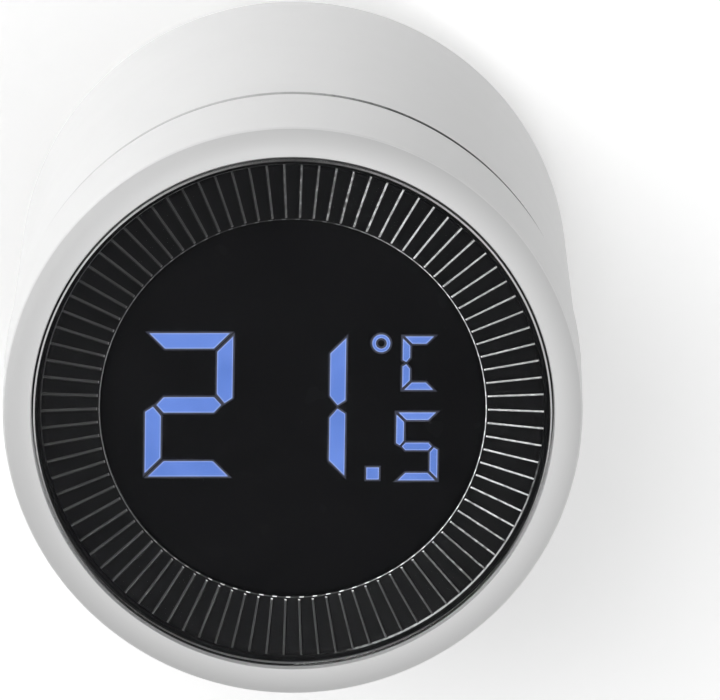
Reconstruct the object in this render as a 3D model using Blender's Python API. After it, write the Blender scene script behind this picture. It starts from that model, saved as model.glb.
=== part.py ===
"""Smart thermostatic radiator valve head, standing face up on its coupling nut.

The origin is the centre of the nut's open end. +Z runs along the valve axis
from the nut to the display, and +Y is the top of the display. Every size below
is in millimetres and becomes metres as its mesh is made.
"""

import math

import bmesh
import bpy

MM = 0.001
GAP = 0.3

# Outer sizes
BODY_R = 27.8
DIAL_R = 28.0
RIM_R = 27.7
LENS_R = 24.75
WALL = 2.0
BODY_LOW = 19.0
SEAM = 69.2
LENS_TOP = 87.44
NUT_R = 17.0
NUT_HEIGHT = 16.0

# Facets of the turned pieces
ROUND = 48
INNER_ROUND = 32
SMALL_ROUND = 20
PIN_ROUND = 12

# Dial
DIAL_LOW = SEAM + GAP
DIAL_FACE_SWEEP = math.radians(20)
DIAL_LIP_LOW = 84.2
DIAL_SKIRT_R = 26.25
DIAL_BORE_R = LENS_R + 0.2
DIAL_RIM_ROUND = 0.2
RING_GEAR_R = 26.0

# Body shell
BODY_EDGE_ROUND = 0.9
BODY_FLOOR_HOLE_R = 12.6
NECK_WALL = 1.7
NECK_FOOT_Z = (64.9, 66.5)

# Battery door, on the -Y side
DOOR_HALF_ANGLE = 43.0
DOOR_GAP_ANGLE = 0.5
DOOR_LOW = 23.2
NECK_TOP = 72.4
NECK_R = 25.9

# Cells, AA size
CELL_R = 7.25
CELL_CAN = 49.5
CELL_X = 7.6
CELL_Y = -16.2
CELL_CUP_R = CELL_R + 0.15
LEFT_CELL_LOW = 23.7
RIGHT_CELL_LOW = 22.9
CELL_NUB_R = 2.6
CELL_NUB_HEIGHT = 1.0
CONTACT_THICKNESS = 0.3

# Gear train: tooth counts, modules and axes
WHEEL_TEETH = 36
PINION_TEETH = 9
LAST_PINION_TEETH = 10
DRIVE_TEETH = 32
FINE_MODULE = 0.4
COARSE_MODULE = 0.5
STEP_DISTANCE = FINE_MODULE * (WHEEL_TEETH + PINION_TEETH) / 2
DRIVE_DISTANCE = COARSE_MODULE * (DRIVE_TEETH + LAST_PINION_TEETH) / 2
FIRST_AXLE_ANGLE = math.radians(128)
SECOND_AXLE_ANGLE = math.radians(200)
MOTOR_ANGLE = math.radians(50)
RING_TEETH = 60
ENCODER_TEETH = 12
ENCODER_MODULE = 0.8
ENCODER_ANGLE = math.radians(30)

# Heights of the gear train
LOWER_PLATE = (23.3, 24.9)
DRIVE_TEETH_Z = (25.5, 29.5)
WASHER_Z = (29.8, 30.5)
THRUST_PLATE = (30.8, 32.3)
THIRD_WHEEL_Z = (32.7, 34.2)
SECOND_WHEEL_Z = (35.3, 36.8)
FIRST_WHEEL_Z = (37.2, 38.7)
UPPER_PLATE = (40.0, 41.5)
MOTOR_Z = (41.8, 62.2)
PLATE_R = 24.6
PLATE_EDGE_Y = -7.4
AXLE_R = 0.7
AXLE_HOLE_R = 0.85
PILLAR_FOOT_R = 2.7
PILLAR_R = 2.0
MOTOR_R = 7.7
MOTOR_HALF_FLAT = 6.0

# Plunger, collar and nut
PLUNGER_LOW = 7.5
PLUNGER_SHOULDER = 20.0
PLUNGER_HIGH = 37.0
PLUNGER_R = 4.0
PLUNGER_THREAD_R = 2.4
PLUNGER_FLAT_X = 3.1
COLLAR_LOW = 8.0
COLLAR_FLOOR = 10.5
COLLAR_FLANGE_Z = (16.5, 18.7)
COLLAR_R = 12.0
COLLAR_BORE_R = 9.5
COLLAR_FLANGE_R = 16.0
CLIP_GROOVE_R = 11.1
CLIP_GROOVE_Z = (9.1, 10.2)
CLIP_R = (11.4, 13.4)
CLIP_Z = (9.3, 10.0)
NUT_THREAD_R = 14.2
NUT_MOUTH_R = 15.2
NUT_MOUTH_Z = (0.3, 1.3)
NUT_LIP_R = 12.3
NUT_LIP_LOW = 10.5
NUT_GROOVES = 24

# Display stack
BOARD_Z = (78.6, 80.2)
PLATE_Z = (75.6, 77.1)
RING_GEAR_Z = (75.9, 78.4)
LENS_THICKNESS = 1.5
BEZEL_HEIGHT = 1.6
BEZEL_R = 24.5
BEZEL_BORE_R = 18.0
WINDOW_R = 18.6
WINDOW_Z = (83.1, 83.6)
READOUT_HIGH = 82.8
BOARD_R = 21.2
FRAME_Z = (82.5, 83.7)
FRAME_R = 25.7
FRAME_BORE_R = 18.9
FRAME_SKIRT_R = (21.6, 22.9)
CHASSIS_R = 22.6
CHASSIS_RIM_R = 20.8
CHASSIS_RIM_TOP = 78.3
ENCODER_BODY_Z = (71.0, 74.8)
ENCODER_GEAR_Z = (76.1, 78.1)

# Fasteners
BASE_SCREW_R = 14.2
BASE_SCREW_ANGLES = (-15, 90, 195)
PILLARS = ((-10.5, 18.5), (12.0, 5.5), (-19.5, -4.6))
FRONT_SCREWS = ((0.0, -10.2), (15.2, -9.7), (-15.2, -9.7))


def polar(radius, angle):
    return (radius * math.cos(angle), radius * math.sin(angle))


def offset(start, radius, angle):
    step = polar(radius, angle)
    return (start[0] + step[0], start[1] + step[1])


FIRST_AXLE = polar(DRIVE_DISTANCE, FIRST_AXLE_ANGLE)
SECOND_AXLE = offset(FIRST_AXLE, STEP_DISTANCE, SECOND_AXLE_ANGLE)
MOTOR_AXIS = offset(FIRST_AXLE, STEP_DISTANCE, MOTOR_ANGLE)
ENCODER_AXIS = polar(ENCODER_MODULE * (RING_TEETH - ENCODER_TEETH) / 2, ENCODER_ANGLE)


def clear_scene():
    for obj in list(bpy.data.objects):
        bpy.data.objects.remove(obj, do_unlink=True)


def material(name, colour, roughness, metallic=0.0, alpha=1.0):
    made = bpy.data.materials.new(name)
    made.use_nodes = True
    shader = made.node_tree.nodes["Principled BSDF"]
    shader.inputs["Base Color"].default_value = (*colour, 1.0)
    shader.inputs["Roughness"].default_value = roughness
    shader.inputs["Metallic"].default_value = metallic
    shader.inputs["Alpha"].default_value = alpha
    made.diffuse_color = (*colour, alpha)
    return made


def finish_mesh(bm, name, finish, at=(0.0, 0.0)):
    """The object made from a bmesh drawn in millimetres around its own axis."""
    bmesh.ops.recalc_face_normals(bm, faces=bm.faces)
    if bm.calc_volume(signed=True) < 0:
        bmesh.ops.reverse_faces(bm, faces=bm.faces)
    bmesh.ops.scale(bm, vec=(MM, MM, MM), verts=bm.verts)
    mesh = bpy.data.meshes.new(name)
    bm.to_mesh(mesh)
    bm.free()
    mesh.shade_smooth()
    mesh.set_sharp_from_angle(angle=math.radians(35))
    if finish:
        mesh.materials.append(finish)
    obj = bpy.data.objects.new(name, mesh)
    obj.location = (at[0] * MM, at[1] * MM, 0.0)
    bpy.context.scene.collection.objects.link(obj)
    return obj


def turned(name, profile, finish, at=(0.0, 0.0), steps=ROUND):
    """A closed (radius, height) outline turned about the vertical axis."""
    bm = bmesh.new()
    corners = [bm.verts.new((radius, 0.0, height)) for radius, height in profile]
    edges = [bm.edges.new((a, b)) for a, b in zip(corners, corners[1:] + corners[:1])]
    if profile[0][0] == 0 and profile[-1][0] == 0:
        bm.edges.remove(edges.pop())
    bmesh.ops.spin(
        bm,
        geom=corners + edges,
        cent=(0, 0, 0),
        axis=(0, 0, 1),
        angle=2 * math.pi,
        steps=steps,
        use_merge=False,
    )
    bmesh.ops.remove_doubles(bm, verts=bm.verts, dist=1e-4)
    return finish_mesh(bm, name, finish, at)


def prism(name, outline, low, high, finish, at=(0.0, 0.0)):
    """An outline of (x, y) points extruded from one height to another."""
    bm = bmesh.new()
    face = bm.faces.new([bm.verts.new((x, y, low)) for x, y in outline])
    raised = bmesh.ops.extrude_face_region(bm, geom=[face])
    moved = [item for item in raised["geom"] if isinstance(item, bmesh.types.BMVert)]
    bmesh.ops.translate(bm, verts=moved, vec=(0, 0, high - low))
    return finish_mesh(bm, name, finish, at)


def disc(name, radius, low, high, finish, at=(0.0, 0.0), steps=SMALL_ROUND):
    profile = [(0, low), (radius, low), (radius, high), (0, high)]
    return turned(name, profile, finish, at, steps)


def tube(name, inner, outer, low, high, finish, at=(0.0, 0.0), steps=ROUND):
    profile = [(inner, low), (outer, low), (outer, high), (inner, high)]
    return turned(name, profile, finish, at, steps)


def rectangle(x_low, x_high, y_low, y_high):
    return [(x_low, y_low), (x_high, y_low), (x_high, y_high), (x_low, y_high)]


def block(name, x_range, y_range, z_range, finish):
    return prism(name, rectangle(*x_range, *y_range), *z_range, finish)


def hide_tool(tool):
    tool.hide_render = True
    tool.display_type = "WIRE"


def combine(obj, tool, operation):
    """Applies a cut or a join with a tool that stays in the scene as a hidden guide."""
    step = obj.modifiers.new(tool.name, "BOOLEAN")
    step.operation = operation
    step.solver = "EXACT"
    step.object = tool
    hide_tool(tool)


def cut(obj, tool):
    combine(obj, tool, "DIFFERENCE")


def join(obj, tool):
    combine(obj, tool, "UNION")


def sector(inner, outer, half_angle, steps):
    """The outline of a ring's sector, centred on the -Y direction."""
    middle = math.radians(-90)
    half = math.radians(half_angle)
    angles = [middle - half + 2 * half * i / steps for i in range(steps + 1)]
    return [polar(outer, a) for a in angles] + [polar(inner, a) for a in reversed(angles)]


def gear_outline(teeth, module, phase, width=0.86, addendum=0.8, dedendum=1.15, rings=3):
    """An involute gear's outline with a tooth centred on the phase angle.

    The width is the tooth's thickness as a share of half the circular pitch.
    """
    pressure = math.radians(20)
    pitch_r = module * teeth / 2
    base_r = pitch_r * math.cos(pressure)
    root_r = pitch_r - dedendum * module
    tip_r = pitch_r + addendum * module
    levels = [root_r, pitch_r, tip_r] if rings == 3 else [root_r, tip_r]

    def involute(angle):
        return math.tan(angle) - angle

    def half_width(radius):
        lean = math.acos(base_r / radius) if radius > base_r else 0.0
        return width * math.pi / (2 * teeth) + involute(pressure) - involute(lean)

    points = []
    for tooth in range(teeth):
        middle = phase + 2 * math.pi * tooth / teeth
        points += [polar(r, middle - half_width(r)) for r in levels]
        points += [polar(r, middle + half_width(r)) for r in reversed(levels)]
    return points


def lens_face_height(radius):
    """The height of the dial's crowned face, level at the lens and falling to its rim."""
    curve_r = (RIM_R - DIAL_RIM_ROUND - DIAL_BORE_R) / math.sin(DIAL_FACE_SWEEP)
    return LENS_TOP - curve_r + math.sqrt(curve_r**2 - (radius - DIAL_BORE_R) ** 2)


def build_dial(finishes):
    face_radii = [DIAL_BORE_R + (RIM_R - DIAL_RIM_ROUND - DIAL_BORE_R) * i / 4 for i in range(5)]
    face = [(r, lens_face_height(r)) for r in face_radii]
    rim_top = face[-1][1]
    profile = [
        *face,
        (RIM_R, rim_top - 0.22),
        (DIAL_R, DIAL_LOW + 0.2),
        (DIAL_R - 0.2, DIAL_LOW),
        (DIAL_SKIRT_R, DIAL_LOW),
        (DIAL_SKIRT_R, DIAL_LIP_LOW),
        (DIAL_BORE_R, DIAL_LIP_LOW),
    ]
    turned("dial_ring", profile, finishes["white"])

    ring = disc("dial_gear", RING_GEAR_R, *RING_GEAR_Z, finishes["gear_white"], steps=ROUND)
    hole = gear_outline(
        RING_TEETH, ENCODER_MODULE, ENCODER_ANGLE, width=1.2, addendum=1.1, dedendum=0.75, rings=2
    )
    cut(ring, prism("dial_gear_teeth", hole, RING_GEAR_Z[0] - 1, RING_GEAR_Z[1] + 1, None))


def build_shell(finishes):
    profile = [
        (BODY_R, BODY_LOW + BODY_EDGE_ROUND),
        (BODY_R, SEAM - 0.3),
        (BODY_R - 0.2, SEAM - 0.1),
        (NECK_R, SEAM - 0.1),
        (NECK_R, NECK_TOP),
        (NECK_R - NECK_WALL, NECK_TOP),
        (NECK_R - NECK_WALL, NECK_FOOT_Z[1]),
        (BODY_R - WALL, NECK_FOOT_Z[0]),
        (BODY_R - WALL, BODY_LOW + WALL),
        (BODY_FLOOR_HOLE_R, BODY_LOW + WALL),
        (BODY_FLOOR_HOLE_R, BODY_LOW),
        (BODY_R - BODY_EDGE_ROUND, BODY_LOW),
        (BODY_R - 0.27, BODY_LOW + 0.27),
    ]
    shell = turned("body_shell", profile, finishes["white"])
    half = DOOR_HALF_ANGLE + DOOR_GAP_ANGLE
    door_hole = sector(BODY_R - 6, BODY_R + 3, half, 12)
    cut(shell, prism("door_hole", door_hole, DOOR_LOW - 0.3, NECK_TOP + 3, None))
    for number, angle in enumerate(BASE_SCREW_ANGLES, 1):
        at = polar(BASE_SCREW_R, math.radians(angle))
        cut(shell, disc(f"shell_screw_hole_{number}", 1.2, BODY_LOW - 1, BODY_LOW + 3, None, at, PIN_ROUND))


def build_door(finishes):
    outline = sector(BODY_R - WALL, BODY_R, DOOR_HALF_ANGLE, 14)
    door = prism("battery_cover", outline, DOOR_LOW, SEAM - 0.1, finishes["white"])
    grip = disc("door_grip_cutter", 6.0, -2.0, 2.0, None, steps=20)
    grip.rotation_euler = (math.radians(90), 0, 0)
    grip.location = (0, -(BODY_R + 1.1) * MM, (DOOR_LOW + 8) * MM)
    cut(door, grip)


def build_cells(finishes):
    for name, x, low, nub_up in (
        ("battery_left", -CELL_X, LEFT_CELL_LOW, True),
        ("battery_right", CELL_X, RIGHT_CELL_LOW, False),
    ):
        high = low + CELL_CAN
        profile = [(0, low), (CELL_R, low), (CELL_R, high - 0.4), (CELL_R - 0.4, high)]
        profile += [(CELL_NUB_R, high), (CELL_NUB_R, high + CELL_NUB_HEIGHT), (0, high + CELL_NUB_HEIGHT)]
        if not nub_up:
            profile = [(r, low + high - z) for r, z in profile]
        turned(name, profile, finishes["cell"], (x, CELL_Y), SMALL_ROUND)


def spring_coil(name, centre, low, high, wide, narrow, finish):
    """A conical spring of round wire."""
    turns = 2.5
    wire = 0.22
    steps = 24
    curve = bpy.data.curves.new(name, "CURVE")
    curve.dimensions = "3D"
    curve.bevel_depth = wire * MM
    curve.bevel_resolution = 1
    curve.use_fill_caps = True
    line = curve.splines.new("POLY")
    line.points.add(steps)
    for i in range(steps + 1):
        share = i / steps
        x, y = polar(wide + (narrow - wide) * share, 2 * math.pi * turns * share)
        z = low + wire + (high - low - 2 * wire) * share
        line.points[i].co = (x * MM, y * MM, z * MM, 1)
    obj = bpy.data.objects.new(name, curve)
    obj.location = (centre[0] * MM, centre[1] * MM, 0)
    curve.materials.append(finish)
    bpy.context.scene.collection.objects.link(obj)


def build_contacts(finishes):
    plate = finishes["nickel"]
    low = BODY_LOW + WALL + GAP
    z_range = (low, low + CONTACT_THICKNESS)
    block("bridge_contact", (-CELL_X - 5, CELL_X + 5), (CELL_Y - 4, CELL_Y + 4), z_range, plate)
    left_top = LEFT_CELL_LOW + CELL_CAN + CELL_NUB_HEIGHT
    for name, x in (("positive_contact", -CELL_X), ("negative_contact", CELL_X)):
        z_range = (left_top + GAP, left_top + GAP + CONTACT_THICKNESS)
        block(name, (x - 4.5, x + 4.5), (CELL_Y - 4, CELL_Y + 4), z_range, plate)
    spring_coil("lower_spring", (-CELL_X, CELL_Y), low + 0.6, LEFT_CELL_LOW - 0.2, 4.0, 2.0, plate)
    right_top = RIGHT_CELL_LOW + CELL_CAN
    spring_coil("upper_spring", (CELL_X, CELL_Y), right_top + 0.2, left_top, 2.0, 4.0, plate)


def build_chassis(finishes):
    """The frame inside the shell: a floor for the gearbox and cups for the cells."""
    floor_low = BODY_LOW + WALL + GAP
    frame = tube("inner_frame", 5.2, BODY_R - WALL - 0.4, floor_low, floor_low + 1.7, finishes["grey"])
    cell_low = (-CELL_X - 8.2, CELL_X + 8.2)
    cut(frame, block("cell_floor_cutter", cell_low, (-30, -8.7), (floor_low - 1, 24.5), None))
    cradle = (-CELL_X - 9.4, CELL_X + 9.4)
    join(frame, block("cell_cradle", cradle, (-14.0, PLATE_EDGE_Y - 0.5), (floor_low + 0.8, 75.2), None))
    for side, x in (("left", -CELL_X), ("right", CELL_X)):
        cut(frame, disc(f"cell_cup_{side}", CELL_CUP_R, floor_low - 1, 77, None, (x, CELL_Y), INNER_ROUND))
    cut(frame, disc("drive_gear_notch", 9.0, 23.05, THRUST_PLATE[1] + 0.4, None))
    for number, angle in enumerate(BASE_SCREW_ANGLES, 1):
        at = polar(BASE_SCREW_R, math.radians(angle))
        cut(frame, disc(f"frame_screw_hole_{number}", 1.2, floor_low - 1, 24, None, at, PIN_ROUND))
    for number, at in enumerate(FRONT_SCREWS, 1):
        cut(frame, disc(f"front_screw_bore_{number}", 1.0, 68.5, 77, None, at, PIN_ROUND))


def plate_outline():
    """A round plate with its -Y side cut off straight beside the cells."""
    reach = math.asin(PLATE_EDGE_Y / PLATE_R)
    start, end = reach, math.pi - reach
    return [polar(PLATE_R, start + (end - start) * i / 24) for i in range(25)]


def bored_plate(name, z_range, finish, holes):
    plate = prism(name, plate_outline(), *z_range, finish)
    for number, (at, radius) in enumerate(holes, 1):
        steps = SMALL_ROUND if radius > 2.5 else PIN_ROUND
        cut(plate, disc(f"{name}_hole_{number}", radius, z_range[0] - 1, z_range[1] + 1, None, at, steps))


def build_gearbox(finishes):
    pillar_holes = [(at, 2.3) for at in PILLARS]
    screw_heads = [(polar(BASE_SCREW_R, math.radians(a)), 2.3) for a in BASE_SCREW_ANGLES]
    axles = [(FIRST_AXLE, AXLE_HOLE_R), (SECOND_AXLE, AXLE_HOLE_R)]
    lower = [((0, 0), 4.35), *axles, *screw_heads]
    bored_plate("lower_gear_plate", LOWER_PLATE, finishes["grey"], lower)
    middle = [((0, 0), 2.9), (FIRST_AXLE, 3.4), (SECOND_AXLE, AXLE_HOLE_R), *pillar_holes]
    bored_plate("thrust_plate", THRUST_PLATE, finishes["steel"], middle)
    upper = [((0, 0), 2.9), (MOTOR_AXIS, 3.2), *axles, *[(at, 1.2) for at in PILLARS]]
    bored_plate("upper_gear_plate", UPPER_PLATE, finishes["grey"], upper)

    for number, at in enumerate(PILLARS, 1):
        foot = LOWER_PLATE[1] + GAP
        shoulder = THRUST_PLATE[0] - GAP
        top = UPPER_PLATE[0] - GAP
        profile = [(0, foot), (PILLAR_FOOT_R, foot), (PILLAR_FOOT_R, shoulder)]
        profile += [(PILLAR_R, shoulder), (PILLAR_R, top)]
        profile += [(1.15, top), (1.15, top - 5), (0, top - 5)]
        turned(f"gear_pillar_{number}", profile, finishes["grey"], at, PIN_ROUND)
        screw(f"gear_screw_{number}", at, top - 4.5, UPPER_PLATE[1] + GAP, finishes["steel"])

    tube("thrust_washer", 2.9, 6.8, *WASHER_Z, finishes["steel"], steps=SMALL_ROUND)
    for name, at in (("first_axle", FIRST_AXLE), ("second_axle", SECOND_AXLE)):
        disc(name, AXLE_R, LOWER_PLATE[0] + 0.1, UPPER_PLATE[1] - 0.1, finishes["steel"], at, PIN_ROUND)


def screw(name, at, low, seat, finish):
    """A pan-head screw whose head rests just above the seat height."""
    profile = [(0, low), (0.9, low), (0.9, seat), (1.9, seat), (1.4, seat + 1.3), (0, seat + 1.3)]
    turned(name, profile, finish, at, PIN_ROUND)


def compound_gear(name, axis, wheel_z, pinion_z, pinion, wheel_phase, finish):
    """A wheel and a pinion moulded in one piece on a free axle; pinion is (teeth, module, phase)."""
    wheel_outline = gear_outline(WHEEL_TEETH, FINE_MODULE, wheel_phase, rings=2)
    gear = prism(name, wheel_outline, *wheel_z, finish, axis)
    join(gear, prism(f"{name}_pinion", gear_outline(*pinion), *pinion_z, None, axis))
    low = min(wheel_z[0], pinion_z[0]) - 1
    high = max(wheel_z[1], pinion_z[1]) + 1
    cut(gear, disc(f"{name}_bore", AXLE_HOLE_R, low, high, None, axis, PIN_ROUND))


def build_gears(finishes):
    plastic = finishes["gear_white"]
    pinion_gap = math.pi / PINION_TEETH
    last_gap = math.pi / LAST_PINION_TEETH

    outline = gear_outline(DRIVE_TEETH, COARSE_MODULE, FIRST_AXLE_ANGLE, rings=2)
    drive = prism("drive_gear", outline, *DRIVE_TEETH_Z, plastic)
    join(drive, disc("drive_hub", 4.2, LOWER_PLATE[0] + 0.2, DRIVE_TEETH_Z[0] + 1, None))
    cut(drive, disc("drive_bore", 2.6, LOWER_PLATE[0] - 1, DRIVE_TEETH_Z[1] + 1, None))

    back_to_drive = FIRST_AXLE_ANGLE + math.pi + last_gap
    compound_gear(
        "third_gear",
        FIRST_AXLE,
        THIRD_WHEEL_Z,
        (DRIVE_TEETH_Z[0] + 0.3, THIRD_WHEEL_Z[0] + 0.5),
        (LAST_PINION_TEETH, COARSE_MODULE, back_to_drive),
        SECOND_AXLE_ANGLE,
        plastic,
    )
    compound_gear(
        "second_gear",
        SECOND_AXLE,
        SECOND_WHEEL_Z,
        (THIRD_WHEEL_Z[0] + 0.2, SECOND_WHEEL_Z[0] + 0.5),
        (PINION_TEETH, FINE_MODULE, SECOND_AXLE_ANGLE + math.pi + pinion_gap),
        SECOND_AXLE_ANGLE + math.pi,
        plastic,
    )
    compound_gear(
        "first_gear",
        FIRST_AXLE,
        FIRST_WHEEL_Z,
        (THIRD_WHEEL_Z[1] + 0.4, FIRST_WHEEL_Z[0] + 0.5),
        (PINION_TEETH, FINE_MODULE, SECOND_AXLE_ANGLE + pinion_gap),
        MOTOR_ANGLE,
        plastic,
    )

    outline = gear_outline(PINION_TEETH, FINE_MODULE, MOTOR_ANGLE + math.pi + pinion_gap)
    z_range = (FIRST_WHEEL_Z[0] - 0.1, UPPER_PLATE[0])
    pinion = prism("motor_pinion", outline, *z_range, finishes["brass"], MOTOR_AXIS)
    cut(pinion, disc("motor_pinion_bore", AXLE_HOLE_R, 30, 50, None, MOTOR_AXIS, PIN_ROUND))
    disc("motor_shaft", AXLE_R, FIRST_WHEEL_Z[0], MOTOR_Z[0] + 3, finishes["steel"], MOTOR_AXIS, PIN_ROUND)


def build_motor(finishes):
    low, high = MOTOR_Z
    reach = math.acos(MOTOR_HALF_FLAT / MOTOR_R)
    arc = [reach + (math.pi - 2 * reach) * i / 12 for i in range(13)]
    outline = [polar(MOTOR_R, a) for a in arc] + [polar(MOTOR_R, a + math.pi) for a in arc]
    motor = prism("motor", outline, low, high, finishes["steel"], MOTOR_AXIS)
    join(motor, disc("motor_boss", 2.8, low - 1.2, low + 1, None, MOTOR_AXIS))
    join(motor, disc("motor_cap", 3.2, high - 1, high + 1.2, None, MOTOR_AXIS))
    cut(motor, disc("motor_bearing", 1.0, low - 3, low + 3.6, None, MOTOR_AXIS, PIN_ROUND))


def build_plunger(finishes):
    profile = [
        (0, PLUNGER_LOW),
        (PLUNGER_R - 0.8, PLUNGER_LOW),
        (PLUNGER_R, PLUNGER_LOW + 0.6),
        (PLUNGER_R, PLUNGER_SHOULDER),
        (PLUNGER_THREAD_R, PLUNGER_SHOULDER),
        (PLUNGER_THREAD_R, PLUNGER_HIGH - 0.4),
        (PLUNGER_THREAD_R - 0.4, PLUNGER_HIGH),
        (0, PLUNGER_HIGH),
    ]
    plunger = turned("plunger", profile, finishes["steel"], steps=SMALL_ROUND)
    for number, x in enumerate((-PLUNGER_FLAT_X - 3, PLUNGER_FLAT_X), 1):
        z_range = (PLUNGER_LOW - 1.5, PLUNGER_SHOULDER + 0.5)
        cut(plunger, block(f"plunger_flat_{number}", (x, x + 3), (-6, 6), z_range, None))


def build_collar(finishes):
    profile = [
        (0, COLLAR_LOW),
        (COLLAR_R - 0.4, COLLAR_LOW),
        (COLLAR_R, COLLAR_LOW + 0.4),
        (COLLAR_R, CLIP_GROOVE_Z[0]),
        (CLIP_GROOVE_R, CLIP_GROOVE_Z[0]),
        (CLIP_GROOVE_R, CLIP_GROOVE_Z[1]),
        (COLLAR_R, CLIP_GROOVE_Z[1]),
        (COLLAR_R, COLLAR_FLANGE_Z[0]),
        (COLLAR_FLANGE_R, COLLAR_FLANGE_Z[0]),
        (COLLAR_FLANGE_R, COLLAR_FLANGE_Z[1]),
        (COLLAR_BORE_R, COLLAR_FLANGE_Z[1]),
        (COLLAR_BORE_R, COLLAR_FLOOR),
        (0, COLLAR_FLOOR),
    ]
    collar = turned("base_collar", profile, finishes["grey"], steps=INNER_ROUND)
    guide = disc("plunger_guide", PLUNGER_R + 0.25, COLLAR_LOW - 1, COLLAR_FLOOR + 1.5, None)
    flat_x = PLUNGER_FLAT_X + 0.25
    for number, x in enumerate((-flat_x - 3, flat_x), 1):
        z_range = (COLLAR_LOW - 2, COLLAR_FLOOR + 2.5)
        cut(guide, block(f"guide_flat_{number}", (x, x + 3), (-6, 6), z_range, None))
    cut(collar, guide)
    for number, angle in enumerate(BASE_SCREW_ANGLES, 1):
        at = polar(BASE_SCREW_R, math.radians(angle))
        cut(collar, disc(f"collar_screw_hole_{number}", 1.1, 17.0, 20, None, at, PIN_ROUND))
        screw(f"base_screw_{number}", at, 17.3, 23.3, finishes["steel"])

    clip = tube("retaining_clip", *CLIP_R, *CLIP_Z, finishes["steel"], steps=INNER_ROUND)
    cut(clip, block("clip_opening", (-4, 4), (5, 20), (8, 11), None))


def build_nut(finishes):
    """The coupling nut: a grooved grip, a bore for the valve's thread and a lip that the clip holds."""
    outline = []
    for groove in range(NUT_GROOVES):
        for share, depth in ((0.0, 0.9), (0.25, 0.25), (0.5, 0.0), (0.75, 0.25)):
            outline.append(polar(NUT_R - depth, 2 * math.pi * (groove + share) / NUT_GROOVES))
    nut = prism("coupling_nut", outline, 0, NUT_HEIGHT, finishes["nut"])
    bore = [
        (0, -1),
        (NUT_MOUTH_R, -1),
        (NUT_MOUTH_R, NUT_MOUTH_Z[0]),
        (NUT_THREAD_R, NUT_MOUTH_Z[1]),
        (NUT_THREAD_R, NUT_LIP_LOW),
        (NUT_LIP_R, NUT_LIP_LOW),
        (NUT_LIP_R, NUT_HEIGHT + 1),
        (0, NUT_HEIGHT + 1),
    ]
    cut(nut, turned("nut_bore", bore, None))


def build_display(finishes):
    black = finishes["black"]
    lens_low = LENS_TOP - LENS_THICKNESS
    lens = [
        (0, lens_low),
        (LENS_R, lens_low),
        (LENS_R, LENS_TOP - 0.25),
        (LENS_R - 0.25, LENS_TOP),
        (0, LENS_TOP),
    ]
    turned("front_lens", lens, finishes["clear"])

    funnel_top = lens_low - GAP
    funnel_low = funnel_top - BEZEL_HEIGHT
    bezel = [
        (BEZEL_R, funnel_top),
        (BEZEL_R, funnel_low),
        (BEZEL_BORE_R, funnel_low),
        (BEZEL_BORE_R, funnel_low + 0.3),
        (BEZEL_BORE_R + 0.3, funnel_low + 0.3),
        (BEZEL_R - 0.5, funnel_top),
    ]
    turned("ribbed_bezel", list(reversed(bezel)), black)

    disc("display_window", WINDOW_R, *WINDOW_Z, black, steps=INNER_ROUND)
    block("led_display", (-15.5, 15.5), (-9.5, 9.5), (BOARD_Z[1] + GAP, READOUT_HIGH), black)
    disc("display_board", BOARD_R, *BOARD_Z, finishes["board"], steps=INNER_ROUND)
    frame = [
        (FRAME_SKIRT_R[0], BOARD_Z[0]),
        (FRAME_SKIRT_R[1], BOARD_Z[0]),
        (FRAME_SKIRT_R[1], FRAME_Z[0]),
        (FRAME_R, FRAME_Z[0]),
        (FRAME_R, FRAME_Z[1]),
        (FRAME_BORE_R, FRAME_Z[1]),
        (FRAME_BORE_R, FRAME_Z[0]),
        (FRAME_SKIRT_R[0], FRAME_Z[0]),
    ]
    turned("display_frame", frame, black, steps=INNER_ROUND)

    profile = [
        (0, PLATE_Z[0]),
        (CHASSIS_R, PLATE_Z[0]),
        (CHASSIS_R, CHASSIS_RIM_TOP),
        (CHASSIS_RIM_R, CHASSIS_RIM_TOP),
        (CHASSIS_RIM_R, PLATE_Z[1]),
        (0, PLATE_Z[1]),
    ]
    chassis = turned("front_frame", profile, finishes["grey"], steps=INNER_ROUND)
    cut(chassis, disc("encoder_gear_room", 6.1, PLATE_Z[0] - 1, 79, None, ENCODER_AXIS))
    for number, at in enumerate(FRONT_SCREWS, 1):
        cut(chassis, disc(f"front_screw_hole_{number}", 1.2, PLATE_Z[0] - 1, 79, None, at, PIN_ROUND))
        screw(f"front_screw_{number}", at, 69.0, PLATE_Z[1] + 0.1, finishes["steel"])


def build_encoder(finishes):
    half = 4.0
    outline = rectangle(-half, half, -half, half)
    body = prism("encoder_body", outline, *ENCODER_BODY_Z, finishes["black"], ENCODER_AXIS)
    body.rotation_euler = (0, 0, ENCODER_ANGLE)
    cut(body, disc("encoder_socket", 1.7, 72.2, 76, None, ENCODER_AXIS, PIN_ROUND))

    outline = gear_outline(ENCODER_TEETH, ENCODER_MODULE, ENCODER_ANGLE)
    gear = prism("encoder_gear", outline, *ENCODER_GEAR_Z, finishes["gear_white"], ENCODER_AXIS)
    join(gear, disc("encoder_stem", 1.5, 72.5, 77, None, ENCODER_AXIS, PIN_ROUND))


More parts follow.
